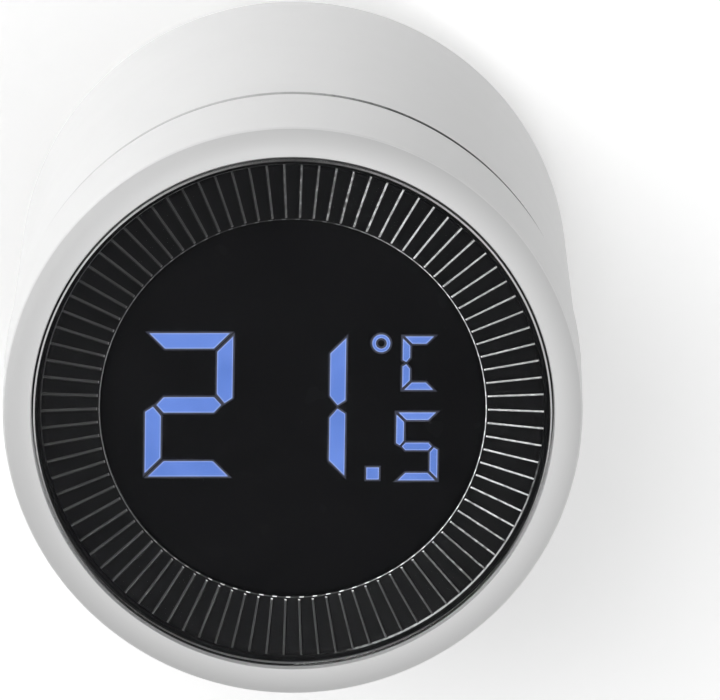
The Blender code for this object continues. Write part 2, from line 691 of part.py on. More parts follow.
def main():
    clear_scene()
    finishes = {
        "white": material("white_shell", (0.80, 0.80, 0.80), 0.45),
        "black": material("black_plastic", (0.012, 0.012, 0.014), 0.35),
        "clear": material("clear_lens", (0.9, 0.9, 0.9), 0.05, alpha=0.35),
        "grey": material("grey_frame", (0.22, 0.22, 0.23), 0.6),
        "gear_white": material("gear_plastic", (0.72, 0.71, 0.66), 0.5),
        "steel": material("steel", (0.6, 0.6, 0.6), 0.35, 1.0),
        "nickel": material("nickel_contact", (0.72, 0.7, 0.66), 0.3, 1.0),
        "brass": material("brass_pinion", (0.78, 0.6, 0.25), 0.35, 1.0),
        "board": material("board_green", (0.02, 0.16, 0.07), 0.5),
        "cell": material("cell_jacket", (0.05, 0.05, 0.06), 0.4),
        "nut": material("nickel_nut", (0.7, 0.69, 0.66), 0.3, 1.0),
    }
    build_dial(finishes)
    build_shell(finishes)
    build_door(finishes)
    build_cells(finishes)
    build_contacts(finishes)
    build_chassis(finishes)
    build_gearbox(finishes)
    build_gears(finishes)
    build_motor(finishes)
    build_plunger(finishes)
    build_collar(finishes)
    build_nut(finishes)
    build_display(finishes)
    build_encoder(finishes)


main()
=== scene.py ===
"""The visual model of an electronic thermostatic radiator valve head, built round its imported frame."""

import math

import bmesh
import bpy
from mathutils import Euler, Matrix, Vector


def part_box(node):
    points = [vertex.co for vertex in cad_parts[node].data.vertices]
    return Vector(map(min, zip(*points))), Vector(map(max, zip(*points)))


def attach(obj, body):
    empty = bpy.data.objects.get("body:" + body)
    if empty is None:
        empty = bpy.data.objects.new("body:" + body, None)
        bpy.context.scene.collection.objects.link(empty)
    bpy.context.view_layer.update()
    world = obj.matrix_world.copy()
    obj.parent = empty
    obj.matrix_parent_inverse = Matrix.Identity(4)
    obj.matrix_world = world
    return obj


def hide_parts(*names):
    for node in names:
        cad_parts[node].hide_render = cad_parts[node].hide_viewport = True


MM = 0.001
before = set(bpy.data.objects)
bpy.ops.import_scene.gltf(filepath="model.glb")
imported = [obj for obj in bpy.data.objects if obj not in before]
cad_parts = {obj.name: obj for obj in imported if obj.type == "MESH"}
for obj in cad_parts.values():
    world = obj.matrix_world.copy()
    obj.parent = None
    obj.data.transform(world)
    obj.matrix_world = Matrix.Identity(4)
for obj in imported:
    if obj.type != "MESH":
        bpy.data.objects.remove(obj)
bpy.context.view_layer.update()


def low_high(node):
    """A CAD node's lowest and highest corners in millimetres."""
    low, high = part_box(node)
    return [value / MM for value in low], [value / MM for value in high]


# Boxes and driving positions in millimetres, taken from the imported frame
LENS_BOX = low_high("front_lens")
DIAL_BOX = low_high("dial_ring")
SHELL_BOX = low_high("body_shell")
DOOR_BOX = low_high("battery_cover")
BEZEL_BOX = low_high("ribbed_bezel")
WINDOW_BOX = low_high("display_window")
NUT_BOX = low_high("coupling_nut")
COLLAR_BOX = low_high("base_collar")

LENS_R = LENS_BOX[1][0]
LENS_TOP = LENS_BOX[1][2]
LENS_LOW = LENS_BOX[0][2]
DIAL_R = DIAL_BOX[1][0]
DIAL_LOW = DIAL_BOX[0][2]
BODY_R = SHELL_BOX[1][0]
BODY_LOW = SHELL_BOX[0][2]
NECK_TOP = SHELL_BOX[1][2]
SEAM = DOOR_BOX[1][2]
DOOR_LOW = DOOR_BOX[0][2]
BEZEL_R = BEZEL_BOX[1][0]
BEZEL_TOP = BEZEL_BOX[1][2]
BEZEL_LOW = BEZEL_BOX[0][2]
WINDOW_R = WINDOW_BOX[1][0]
WINDOW_LOW = WINDOW_BOX[0][2]
WINDOW_TOP = WINDOW_BOX[1][2]
NUT_TOP = NUT_BOX[1][2]
FLANGE_R = COLLAR_BOX[1][0]
COLLAR_LOW = COLLAR_BOX[0][2]
COLLAR_TOP = COLLAR_BOX[1][2]

ROUND = 256
FINE_ROUND = 320


# ---------------------------------------------------------------- mesh tools


def polar(radius, angle):
    return radius * math.cos(angle), radius * math.sin(angle)


def rounded(profile, segments=5):
    """A closed (radius, height[, corner radius]) outline with its corners rounded."""
    made = []
    count = len(profile)
    for i, point in enumerate(profile):
        here = Vector(point[:2])
        size = point[2] if len(point) > 2 else 0
        if not size:
            made.append(tuple(here))
            continue
        before = Vector(profile[i - 1][:2]) - here
        after = Vector(profile[(i + 1) % count][:2]) - here
        half = before.angle(after) / 2
        reach = min(size / math.tan(half), before.length * 0.49, after.length * 0.49)
        start = here + before.normalized() * reach
        end = here + after.normalized() * reach
        for step in range(segments + 1):
            share = step / segments
            one = start.lerp(here, share)
            two = here.lerp(end, share)
            made.append(tuple(one.lerp(two, share)))
    return made


def grid_mesh(rows, closed=True):
    """Faces between rows of points. A row of one point is a pole."""
    verts, faces, starts = [], [], []
    for row in rows:
        starts.append(len(verts))
        verts.extend(row)
    pairs = list(range(len(rows)))
    if not closed:
        pairs = pairs[:-1]
    for i in pairs:
        j = (i + 1) % len(rows)
        a, b = starts[i], starts[j]
        n, m = len(rows[i]), len(rows[j])
        if n == 1 and m == 1:
            continue
        for k in range(max(n, m)):
            after = (k + 1) % max(n, m)
            if n == 1:
                faces.append((a, b + after, b + k))
            elif m == 1:
                faces.append((a + k, a + after, b))
            else:
                faces.append((a + k, a + after, b + after, b + k))
    return verts, faces


def lathe(profile, steps=ROUND, at=(0.0, 0.0), shape=None):
    """A closed outline turned about a vertical axis. shape may move a point by its angle."""
    rows = []
    for radius, height in profile:
        if abs(radius) < 1e-6:
            rows.append([(at[0], at[1], height)])
            continue
        row = []
        for step in range(steps):
            angle = 2 * math.pi * step / steps
            r, z = shape(radius, height, angle) if shape else (radius, height)
            x, y = polar(r, angle)
            row.append((at[0] + x, at[1] + y, z))
        rows.append(row)
    closed = not (len(rows[0]) == 1 and len(rows[-1]) == 1)
    return grid_mesh(rows, closed)


def prism(outline, low, high, axis="z"):
    """A flat outline extruded along z, or along y for an outline of (x, z) points."""
    count = len(outline)
    if axis == "z":
        verts = [(x, y, low) for x, y in outline] + [(x, y, high) for x, y in outline]
    else:
        verts = [(x, low, z) for x, z in outline] + [(x, high, z) for x, z in outline]
    faces = [tuple(reversed(range(count))), tuple(range(count, 2 * count))]
    for i in range(count):
        j = (i + 1) % count
        faces.append((i, j, j + count, i + count))
    return verts, faces


def joined(*parts):
    """Several (verts, faces) bodies as one."""
    verts, faces = [], []
    for part_verts, part_faces in parts:
        start = len(verts)
        verts.extend(part_verts)
        faces.extend(tuple(start + i for i in face) for face in part_faces)
    return verts, faces


def make_object(name, body):
    """An object from (verts, faces) in millimetres, with its normals outward."""
    verts, faces = body
    mesh = bpy.data.meshes.new(name)
    mesh.from_pydata([(x * MM, y * MM, z * MM) for x, y, z in verts], [], faces)
    bm = bmesh.new()
    bm.from_mesh(mesh)
    bmesh.ops.recalc_face_normals(bm, faces=bm.faces)
    bm.to_mesh(mesh)
    bm.free()
    obj = bpy.data.objects.new(name, mesh)
    bpy.context.scene.collection.objects.link(obj)
    return obj


def apply_modifiers(obj):
    """Keeps the mesh that the modifiers make, and drops them."""
    graph = bpy.context.evaluated_depsgraph_get()
    mesh = bpy.data.meshes.new_from_object(obj.evaluated_get(graph))
    obj.modifiers.clear()
    obj.data = mesh


def combine(obj, body, operation):
    """Cuts a (verts, faces) body out of obj, or adds it."""
    tool = make_object("tool", body)
    step = obj.modifiers.new("combine", "BOOLEAN")
    step.operation = operation
    step.solver = "EXACT"
    step.object = tool
    apply_modifiers(obj)
    bpy.data.objects.remove(tool)


def soften_edges(obj, width, angle):
    """A small bevel on the edges sharper than the angle."""
    step = obj.modifiers.new("soften", "BEVEL")
    step.width = width * MM
    step.segments = 2
    step.limit_method = "ANGLE"
    step.angle_limit = math.radians(angle)
    apply_modifiers(obj)


def smooth(obj, angle=32):
    """Smooth shading that keeps edges sharper than the angle."""
    mesh = obj.data
    for face in mesh.polygons:
        face.use_smooth = True
    mesh.set_sharp_from_angle(angle=math.radians(angle))
    step = obj.modifiers.new("weigh", "WEIGHTED_NORMAL")
    step.keep_sharp = True
    apply_modifiers(obj)


def piece(obj, body, finish, nodes=(), angle=32):
    """Shades obj, gives it its first finish and ties it to the frame."""
    smooth(obj, angle)
    if not obj.data.materials:
        obj.data.materials.append(finish)
    else:
        obj.data.materials[0] = finish
    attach(obj, body)
    if nodes:
        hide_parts(*nodes)


# ---------------------------------------------------------------- materials

GRAIN = 3200.0
GRAIN_DEPTH = 0.000012
EDGE_BREAKS = 1900.0


def new_material(name):
    made = bpy.data.materials.new(name)
    made.use_nodes = True
    tree = made.node_tree
    shader = tree.nodes["Principled BSDF"]
    return made, tree, shader


def noise(tree, coords, scale, detail=2.0, roughness=0.5):
    node = tree.nodes.new("ShaderNodeTexNoise")
    node.inputs["Scale"].default_value = scale
    node.inputs["Detail"].default_value = detail
    node.inputs["Roughness"].default_value = roughness
    tree.links.new(coords, node.inputs["Vector"])
    return node.outputs["Fac"]


def object_coords(tree):
    return tree.nodes.new("ShaderNodeTexCoord").outputs["Object"]


def maths(tree, operation, *values):
    node = tree.nodes.new("ShaderNodeMath")
    node.operation = operation
    for socket, value in zip(node.inputs, values):
        if isinstance(value, (int, float)):
            socket.default_value = value
        else:
            tree.links.new(value, socket)
    return node.outputs["Value"]


def height(tree, coords):
    parts = tree.nodes.new("ShaderNodeSeparateXYZ")
    tree.links.new(coords, parts.inputs["Vector"])
    return parts.outputs["Z"]


def across_axis(tree, coords):
    """The part of a place that lies across the valve's axis."""
    flat = tree.nodes.new("ShaderNodeVectorMath")
    flat.operation = "MULTIPLY"
    flat.inputs[1].default_value = (1, 1, 0)
    tree.links.new(coords, flat.inputs[0])
    return flat.outputs["Vector"]


def length(tree, vector):
    node = tree.nodes.new("ShaderNodeVectorMath")
    node.operation = "LENGTH"
    tree.links.new(vector, node.inputs[0])
    return node.outputs["Value"]


def around(tree, coords, degrees):
    """Cosine of the angle about the valve's axis from a direction, -1 to 1."""
    unit = tree.nodes.new("ShaderNodeVectorMath")
    unit.operation = "NORMALIZE"
    tree.links.new(across_axis(tree, coords), unit.inputs[0])
    dot = tree.nodes.new("ShaderNodeVectorMath")
    dot.operation = "DOT_PRODUCT"
    dot.inputs[1].default_value = (*polar(1.0, math.radians(degrees)), 0)
    tree.links.new(unit.outputs["Vector"], dot.inputs[0])
    return dot.outputs["Value"]


def spread(tree, value, low, high, start=0.3, end=0.7):
    """A value from start to end mapped to low to high."""
    node = tree.nodes.new("ShaderNodeMapRange")
    node.inputs["From Min"].default_value = start
    node.inputs["From Max"].default_value = end
    node.inputs["To Min"].default_value = low
    node.inputs["To Max"].default_value = high
    tree.links.new(value, node.inputs["Value"])
    return node.outputs["Result"]


def ramp(tree, value, stops, interpolation="LINEAR"):
    """A value turned into a colour by (position, colour) stops."""
    node = tree.nodes.new("ShaderNodeValToRGB")
    node.color_ramp.interpolation = interpolation
    elements = node.color_ramp.elements
    while len(elements) < len(stops):
        elements.new(1.0)
    for element, (position, colour) in zip(elements, stops):
        element.position = position
        element.color = (*colour, 1.0)
    tree.links.new(value, node.inputs["Fac"])
    return node.outputs["Color"]


def bump(tree, relief, strength, distance):
    node = tree.nodes.new("ShaderNodeBump")
    node.inputs["Strength"].default_value = strength
    node.inputs["Distance"].default_value = distance
    tree.links.new(relief, node.inputs["Height"])
    return node.outputs["Normal"]


def shaded(colour, factor):
    return tuple(min(1.0, channel * factor) for channel in colour)


def mottled(tree, clouds, colour, mottle):
    """A colour that goes a share lighter and darker with the clouds."""
    return ramp(tree, clouds, [(0.3, shaded(colour, 1 - mottle)), (0.7, shaded(colour, 1 + mottle))])


def moulded(name, colour, roughness, mottle=0.02, depth=GRAIN_DEPTH, wander=0.06, ior=1.46):
    """Moulded plastic: faint flow clouds, a fine eroded grain and an uneven gloss."""
    made, tree, shader = new_material(name)
    coords = object_coords(tree)
    clouds = noise(tree, coords, 55.0, 3.0)
    tree.links.new(mottled(tree, clouds, colour, mottle), shader.inputs["Base Color"])
    gloss = noise(tree, coords, 240.0, 3.0)
    uneven = spread(tree, gloss, roughness - wander, roughness + wander)
    tree.links.new(uneven, shader.inputs["Roughness"])
    fine = noise(tree, coords, GRAIN, 2.0, 0.6)
    tree.links.new(bump(tree, fine, 0.35, depth), shader.inputs["Normal"])
    shader.inputs["IOR"].default_value = ior
    return made


def turned_metal(name, colour, roughness, lines=9000.0):
    """Machined metal: fine rings round the axis, with an uneven sheen."""
    made, tree, shader = new_material(name)
    coords = object_coords(tree)
    along = maths(tree, "ADD", length(tree, across_axis(tree, coords)), height(tree, coords))
    rings = tree.nodes.new("ShaderNodeTexNoise")
    rings.noise_dimensions = "1D"
    rings.inputs["Scale"].default_value = lines
    rings.inputs["Detail"].default_value = 2.0
    tree.links.new(along, rings.inputs["W"])
    fine = rings.outputs["Fac"]
    clouds = noise(tree, coords, 130.0, 3.0)
    tree.links.new(mottled(tree, clouds, colour, 0.06), shader.inputs["Base Color"])
    tree.links.new(spread(tree, fine, roughness - 0.07, roughness + 0.09), shader.inputs["Roughness"])
    tree.links.new(bump(tree, fine, 0.3, 0.000006), shader.inputs["Normal"])
    shader.inputs["Metallic"].default_value = 1.0
    return made


def painted_light_edge(name, degrees, stops, fold=0.0, stray=0.03):
    """A narrow edge with fine breaks and painted light: its tone runs round the ring from a lit direction.

    stops are (place, tone), from place 0 opposite the direction to 1 on it. A fold makes the two
    ends alike and weighs in the direction a quarter turn on.
    """
    made, tree, shader = new_material(name)
    coords = object_coords(tree)
    turn = around(tree, coords, degrees)
    if fold:
        rise = maths(tree, "MULTIPLY", around(tree, coords, degrees + 90), fold)
        turn = maths(tree, "MULTIPLY_ADD", maths(tree, "ABSOLUTE", turn), 1 - fold, rise)
    else:
        turn = maths(tree, "MULTIPLY_ADD", turn, 0.5, 0.5)
    breaks = noise(tree, coords, EDGE_BREAKS, 3.0)
    place = maths(tree, "ADD", turn, spread(tree, breaks, -stray, stray))
    greys = [(at, (tone, tone, tone)) for at, tone in stops]
    tree.links.new(ramp(tree, place, greys), shader.inputs["Base Color"])
    shader.inputs["Roughness"].default_value = 0.3
    tree.links.new(bump(tree, breaks, 0.3, 0.00001), shader.inputs["Normal"])
    return made


def paint(obj, finishes, choose):
    """More than one finish on a body. choose gives a finish's place from a face's centre in mm."""
    for finish in finishes:
        obj.data.materials.append(finish)
    for face in obj.data.polygons:
        face.material_index = choose(*(value / MM for value in face.center))


def clear_pane(name):
    """Clear polished acrylic that lets light through to what lies behind it."""
    made, tree, shader = new_material(name)
    shader.inputs["Base Color"].default_value = (0.97, 0.98, 0.98, 1.0)
    shader.inputs["Transmission Weight"].default_value = 1.0
    shader.inputs["IOR"].default_value = 1.49
    coords = object_coords(tree)
    smears = noise(tree, coords, 90.0, 3.0)
    tree.links.new(spread(tree, smears, 0.0, 0.02), shader.inputs["Roughness"])
    through = tree.nodes.new("ShaderNodeBsdfTransparent")
    path = tree.nodes.new("ShaderNodeLightPath")
    choose = tree.nodes.new("ShaderNodeMixShader")
    output = tree.nodes["Material Output"]
    tree.links.new(path.outputs["Is Shadow Ray"], choose.inputs["Fac"])
    tree.links.new(shader.outputs["BSDF"], choose.inputs[1])
    tree.links.new(through.outputs["BSDF"], choose.inputs[2])
    tree.links.new(choose.outputs["Shader"], output.inputs["Surface"])
    return made


def glowing(name, low, high):
    """A lit segment, a little uneven from end to end like a backlit readout."""
    made, tree, shader = new_material(name)
    coords = object_coords(tree)
    clouds = noise(tree, coords, 170.0, 2.0)
    colour = ramp(tree, clouds, [(0.3, low), (0.7, high)])
    shader.inputs["Base Color"].default_value = (0.01, 0.012, 0.02, 1.0)
    shader.inputs["Roughness"].default_value = 0.5
    tree.links.new(colour, shader.inputs["Emission Color"])
    shader.inputs["Emission Strength"].default_value = 1.0
    return made


SHELL_WHITE = (0.80, 0.80, 0.80)
WHITE = moulded("white_shell_finish", SHELL_WHITE, 0.45, mottle=0.008, wander=0.03)
WHITE_DIAL = moulded("white_dial_finish", SHELL_WHITE, 0.45, mottle=0.006, wander=0.03)
# Seam edge: a faint grey joint line all round, with painted shade that darkens it towards 38 degrees.
SEAM_PAINTED_SHADE = painted_light_edge(
    "seam_painted_shade_finish", 38, [(0.0, 0.75), (0.7, 0.65), (0.84, 0.5), (0.94, 0.1), (1.0, 0.05)]
)
RIB_BLACK = moulded("ribbed_black_finish", (0.007, 0.007, 0.0075), 0.4, mottle=0.1, wander=0.05, ior=1.1)
# Painted highlights on the rib crests, bright on ribs near 20 degrees round the axis.
CREST_HIGHLIGHT_TONES = [(0.1, 0.04), (0.4, 0.04), (0.62, 0.06), (0.76, 0.16), (0.88, 0.7), (1.0, 0.42)]
CREST_HIGHLIGHT = painted_light_edge("rib_crest_painted_highlight", 20, CREST_HIGHLIGHT_TONES, stray=0.1)
# Painted highlight on the inner bead, brightest towards 0 degrees and faint opposite.
BEAD_HIGHLIGHT_TONES = [(0.0, 0.14), (0.15, 0.08), (0.3, 0.02), (0.6, 0.02), (0.75, 0.3), (1.0, 0.5)]
BEAD_HIGHLIGHT = painted_light_edge("inner_bead_painted_highlight", 0, BEAD_HIGHLIGHT_TONES)
# Painted highlights on the rib ends, bright on the half towards -30 degrees.
HOOK_HIGHLIGHT_TONES = [(0.0, 0.16), (0.3, 0.14), (0.5, 0.4), (0.65, 0.85), (1.0, 0.9)]
HOOK_HIGHLIGHT = painted_light_edge("rib_end_painted_highlight", -30, HOOK_HIGHLIGHT_TONES)
# Painted highlight on the outer step, only on the side towards -45 degrees.
STEP_HIGHLIGHT_TONES = [(0.0, 0.09), (0.1, 0.06), (0.25, 0.008), (0.91, 0.008), (0.97, 0.45), (1.0, 0.6)]
STEP_HIGHLIGHT = painted_light_edge("outer_step_painted_highlight", -45, STEP_HIGHLIGHT_TONES)
LENS = clear_pane("clear_lens_finish")
# Painted highlight on the lens's edge chamfer, bright towards 0 and 180 degrees and dark towards -90.
LENS_EDGE_HIGHLIGHT = painted_light_edge("lens_edge_painted_highlight", 0, [(0.22, 0.03), (0.4, 0.14), (0.6, 0.45), (0.7, 0.75)], 0.3)
WINDOW_BLACK = moulded(
    "window_black_finish", (0.006, 0.006, 0.0065), 0.22, mottle=0.1, depth=0.000003, ior=1.12
)
FRAME_BLACK = moulded("carrier_black_finish", (0.012, 0.012, 0.013), 0.4, mottle=0.1)
DARK_GREY = moulded("frame_grey_finish", (0.085, 0.087, 0.092), 0.5, mottle=0.06)
ACETAL = moulded("gear_acetal_finish", (0.74, 0.73, 0.68), 0.36, ior=1.48)
STEEL = turned_metal("steel_finish", (0.58, 0.58, 0.585), 0.3)
NICKEL = turned_metal("nickel_spring_finish", (0.72, 0.70, 0.66), 0.24)
NUT_METAL = turned_metal("nickel_nut_finish", (0.70, 0.68, 0.64), 0.26, lines=5200.0)
BRASS = turned_metal("brass_finish", (0.80, 0.60, 0.25), 0.28)


def board_material():
    """Green solder mask with faint tracks under it."""
    made, tree, shader = new_material("board_finish")
    coords = object_coords(tree)
    bricks = tree.nodes.new("ShaderNodeTexBrick")
    bricks.inputs["Scale"].default_value = 210.0
    bricks.inputs["Color1"].default_value = (0.012, 0.10, 0.045, 1.0)
    bricks.inputs["Color2"].default_value = (0.014, 0.115, 0.05, 1.0)
    bricks.inputs["Mortar"].default_value = (0.03, 0.19, 0.08, 1.0)
    bricks.inputs["Mortar Size"].default_value = 0.06
    tree.links.new(coords, bricks.inputs["Vector"])
    tree.links.new(bricks.outputs["Color"], shader.inputs["Base Color"])
    tree.links.new(bump(tree, bricks.outputs["Fac"], 0.3, 0.00002), shader.inputs["Normal"])
    gloss = noise(tree, coords, 300.0)
    tree.links.new(spread(tree, gloss, 0.28, 0.42), shader.inputs["Roughness"])
    return made


BOARD = board_material()


def cell_material(name, bottom, top, button_up):
    """A cell's printed jacket: a copper band near the button and a dark body, by height."""
    made, tree, shader = new_material(name)
    coords = object_coords(tree)
    share = spread(tree, height(tree, coords), 0.0, 1.0, bottom * MM, top * MM)
    dark = (0.02, 0.021, 0.024)
    copper = (0.62, 0.27, 0.10)
    stops = [(0.0, dark), (0.7, copper)] if button_up else [(0.0, copper), (0.3, dark)]
    tree.links.new(ramp(tree, share, stops, "CONSTANT"), shader.inputs["Base Color"])
    wrap = noise(tree, coords, 320.0, 3.0)
    tree.links.new(spread(tree, wrap, 0.18, 0.34), shader.inputs["Roughness"])
    tree.links.new(bump(tree, wrap, 0.25, 0.00002), shader.inputs["Normal"])
    shader.inputs["Metallic"].default_value = 0.35
    return made


# ---------------------------------------------------------------- the outer shells

FACE_SWEEP = math.radians(42)
FACE_SHADE = 0.84
FACE_STEPS = 16
BORE_R = LENS_R + 0.2
BORE_ROUND = 0.1
FACE_START = BORE_R + BORE_ROUND
RIM_R = 27.7
RIM_ROUND = 0.5
RIM_STEPS = 10
RIM_SWEEP = math.radians(89)
FACE_EDGE = RIM_R - RIM_ROUND * (1 - math.sin(FACE_SWEEP))
FACE_ARC = (FACE_EDGE - LENS_R) / math.sin(FACE_SWEEP)
SKIRT_BORE_R = 26.25
SKIRT_TOP = 84.2
SKIRT_LOW = DIAL_LOW + 0.05
TAPER = 0.58
TAPER_HEIGHT = 1.7
TAPER_ROUND = 1.4

SEAM_ROUND = 0.22
WALL = 2.0
NECK_R = 25.9
NECK_BORE_R = 24.2
NECK_LOW = 66.5
CAVITY_TOP = 64.9
BASE_BORE_R = 12.6
SCREW_CIRCLE_R = 14.2
SCREW_ANGLES = (-15, 90, 195)
SCREW_HOLE_R = 1.2

DOOR_HALF_ANGLE = math.radians(43)
DOOR_CORNER = 2.2
DOOR_GAP = 0.22
DOOR_DEPTH = (-40.0, -8.0)
DOOR_BEVEL = 0.13
SCOOP_HEIGHT = DOOR_LOW + 9.5
SCOOP_R = 22.9
SCOOP_BITE = 1.2
SCOOP_SQUASH = 0.5
RIDGE_STEP = 1.6
RIDGE_HALF_HEIGHT = 0.22
RIDGE_HALF_WIDTHS = (3.4, 4.6, 4.6, 3.4)
RIDGE_DEPTH = (-BODY_R + 0.5, -BODY_R + 1.5)


def face_height(radius):
    """The dial's gently domed front face."""
    out = radius - LENS_R
    return LENS_TOP - (FACE_ARC - math.sqrt(FACE_ARC**2 - out**2))


def face_white_painted_shade():
    """The dial's white with painted shade: darker towards the outside of its face."""
    made = moulded("white_face_painted_shade", SHELL_WHITE, 0.45, mottle=0.006, wander=0.03)
    tree = made.node_tree
    base = tree.nodes["Principled BSDF"].inputs["Base Color"]
    radius = length(tree, across_axis(tree, object_coords(tree)))
    shade_scaled = tree.nodes.new("ShaderNodeVectorMath")
    shade_scaled.operation = "SCALE"
    tree.links.new(base.links[0].from_socket, shade_scaled.inputs[0])
    # Painted shade: the white falls to FACE_SHADE of itself from the lens to the rim.
    shade = spread(tree, radius, 1.0, FACE_SHADE, LENS_R * MM, FACE_EDGE * MM)
    tree.links.new(shade, shade_scaled.inputs["Scale"])
    tree.links.new(shade_scaled.outputs["Vector"], base)
    return made


def face_shade_mask(x, y, z):
    """The sloping face inside the rim gets the white with painted shade."""
    on_face = LENS_R < math.hypot(x, y) < FACE_EDGE
    return 1 if on_face and z > face_height(FACE_EDGE) - 0.1 else 0


def build_dial():
    """The turning ring: a domed face, a round rim, and a skirt that draws in at the seam."""
    face = []
    for i in range(FACE_STEPS + 1):
        radius = FACE_START + (FACE_EDGE - FACE_START) * i / FACE_STEPS
        face.append((radius, face_height(radius)))
    centre_r = RIM_R - RIM_ROUND
    centre_z = face[-1][1] - RIM_ROUND * math.cos(FACE_SWEEP)
    for i in range(1, RIM_STEPS + 1):
        slope = FACE_SWEEP + (RIM_SWEEP - FACE_SWEEP) * i / RIM_STEPS
        out, up = polar(RIM_ROUND, math.pi / 2 - slope)
        face.append((centre_r + out, centre_z + up))
    profile = [
        (BORE_R, face_height(FACE_START) - BORE_ROUND),
        *face,
        (DIAL_R, DIAL_LOW + TAPER_HEIGHT, TAPER_ROUND),
        (DIAL_R - TAPER, SKIRT_LOW, 0.1),
        (SKIRT_BORE_R, SKIRT_LOW, 0.1),
        (SKIRT_BORE_R, SKIRT_TOP),
        (BORE_R, SKIRT_TOP),
    ]
    obj = make_object("dial_ring_shell", lathe(rounded(profile, 7), FINE_ROUND))
    # The face inside the rim gets painted shade towards the rim.
    paint(obj, (WHITE_DIAL, face_white_painted_shade()), face_shade_mask)
    piece(obj, "dial", WHITE_DIAL, ["dial_ring"], 50)


def door_outline(grow):
    """The door's outline seen along y. The hole round it is grown by the gap and has an open top."""
    half = BODY_R * math.sin(DOOR_HALF_ANGLE) + grow
    low = DOOR_LOW - grow
    corner = DOOR_CORNER + grow
    top = NECK_TOP + 4 if grow else SEAM
    points = [(half, top), (-half, top)]
    for centre_x, start in ((-half + corner, math.pi), (half - corner, 1.5 * math.pi)):
        for i in range(9):
            x, z = polar(corner, start + math.pi / 2 * i / 8)
            points.append((centre_x + x, low + corner + z))
    return points


def seam_shade_mask(x, y, z):
    """The rounded edge at the seam gets a faint grey joint line and painted shade, darkest towards 38
    degrees.
    """
    on_edge = SEAM - SEAM_ROUND < z < SEAM - 0.004
    return 1 if on_edge and math.hypot(x, y) > BODY_R - SEAM_ROUND else 0


def build_shell():
    """The body: a turned wall and base with the door's hole and three screw holes."""
    inner = BODY_R - WALL
    floor = BODY_LOW + WALL
    profile = [
        (BODY_R, SEAM, SEAM_ROUND),
        (NECK_R, SEAM),
        (NECK_R, NECK_TOP, 0.2),
        (NECK_BORE_R, NECK_TOP, 0.2),
        (NECK_BORE_R, NECK_LOW),
        (inner, CAVITY_TOP),
        (inner, floor),
        (BASE_BORE_R, floor),
        (BASE_BORE_R, BODY_LOW, 0.2),
        (BODY_R, BODY_LOW, 0.9),
    ]
    obj = make_object("body_shell_fine", lathe(rounded(profile, 6)))
    combine(obj, prism(door_outline(DOOR_GAP), *DOOR_DEPTH, "y"), "DIFFERENCE")
    low, high = BODY_LOW - 1, floor + 1
    hole = [(0, low), (SCREW_HOLE_R, low), (SCREW_HOLE_R, high), (0, high)]
    for angle in SCREW_ANGLES:
        combine(obj, lathe(hole, 24, polar(SCREW_CIRCLE_R, math.radians(angle))), "DIFFERENCE")
    # The seam's rounded edge gets the joint line with painted shade.
    paint(obj, (WHITE, SEAM_PAINTED_SHADE), seam_shade_mask)
    piece(obj, "housing", WHITE, ["body_shell"], 35)


def ball(centre, radius, squash):
    """A ball about a centre, squashed along z."""
    rings, steps = 24, 48
    rows = []
    for i in range(rings + 1):
        rise = -math.pi / 2 + math.pi * i / rings
        r = radius * math.cos(rise)
        z = centre[2] + radius * math.sin(rise) * squash
        if r < 1e-6:
            rows.append([(centre[0], centre[1], z)])
            continue
        ring = [polar(r, 2 * math.pi * k / steps) for k in range(steps)]
        rows.append([(centre[0] + x, centre[1] + y, z) for x, y in ring])
    return grid_mesh(rows, False)


def build_door():
    """The battery door: a slice of the body's wall with a thumb scoop and four grip ridges."""
    low, high, inner = DOOR_LOW - 2, SEAM + 2, BODY_R - WALL
    obj = make_object("battery_door", lathe([(BODY_R, low), (BODY_R, high), (inner, high), (inner, low)]))
    combine(obj, prism(door_outline(0.0), *DOOR_DEPTH, "y"), "INTERSECT")
    scoop_centre = (0, -BODY_R - SCOOP_R + SCOOP_BITE, SCOOP_HEIGHT)
    combine(obj, ball(scoop_centre, SCOOP_R, SCOOP_SQUASH), "DIFFERENCE")
    for i, half in enumerate(RIDGE_HALF_WIDTHS):
        z = SCOOP_HEIGHT + RIDGE_STEP * (i - 1.5)
        low, high = z - RIDGE_HALF_HEIGHT, z + RIDGE_HALF_HEIGHT
        bar = [(-half, low), (half, low), (half, high), (-half, high)]
        combine(obj, prism(bar, *RIDGE_DEPTH, "y"), "UNION")
    soften_edges(obj, DOOR_BEVEL, 48)
    piece(obj, "cover", WHITE, ["battery_cover"], 40)


# ---------------------------------------------------------------- the glazed front

LENS_CHAMFER = 0.16

RIBS = 90
PITCH = 2 * math.pi / RIBS
RIB_HALF = 0.15
RIB_HEIGHT = 0.2
CREST_HALF = 0.038
CREST_FALL = 0.3
RIB_OUTER = 24.0
RIB_INNER = 18.45
BEAD_R = RIB_INNER + 0.09
RIB_END = RIB_INNER + 0.12 + RIB_HALF
TIP_R = RIB_END + 0.06
TIP_INNER_R = RIB_END - CREST_HALF - 0.02
HOOK_START = -0.05
HOOK_SHARE = 0.31
FLANK_SHARE = 0.15
STEP_WIDTH = 0.12
LAND_LOW = BEZEL_LOW + 0.42
LAND_HIGH = BEZEL_TOP - 0.3
UNDERSIDE = BEZEL_LOW + 0.25


def lens_highlight_mask(x, y, z):
    """The chamfer at the lens's edge gets a painted highlight."""
    outer = math.hypot(x, y) > LENS_R - LENS_CHAMFER
    return 1 if outer and LENS_TOP - LENS_CHAMFER < z < LENS_TOP - 0.02 else 0


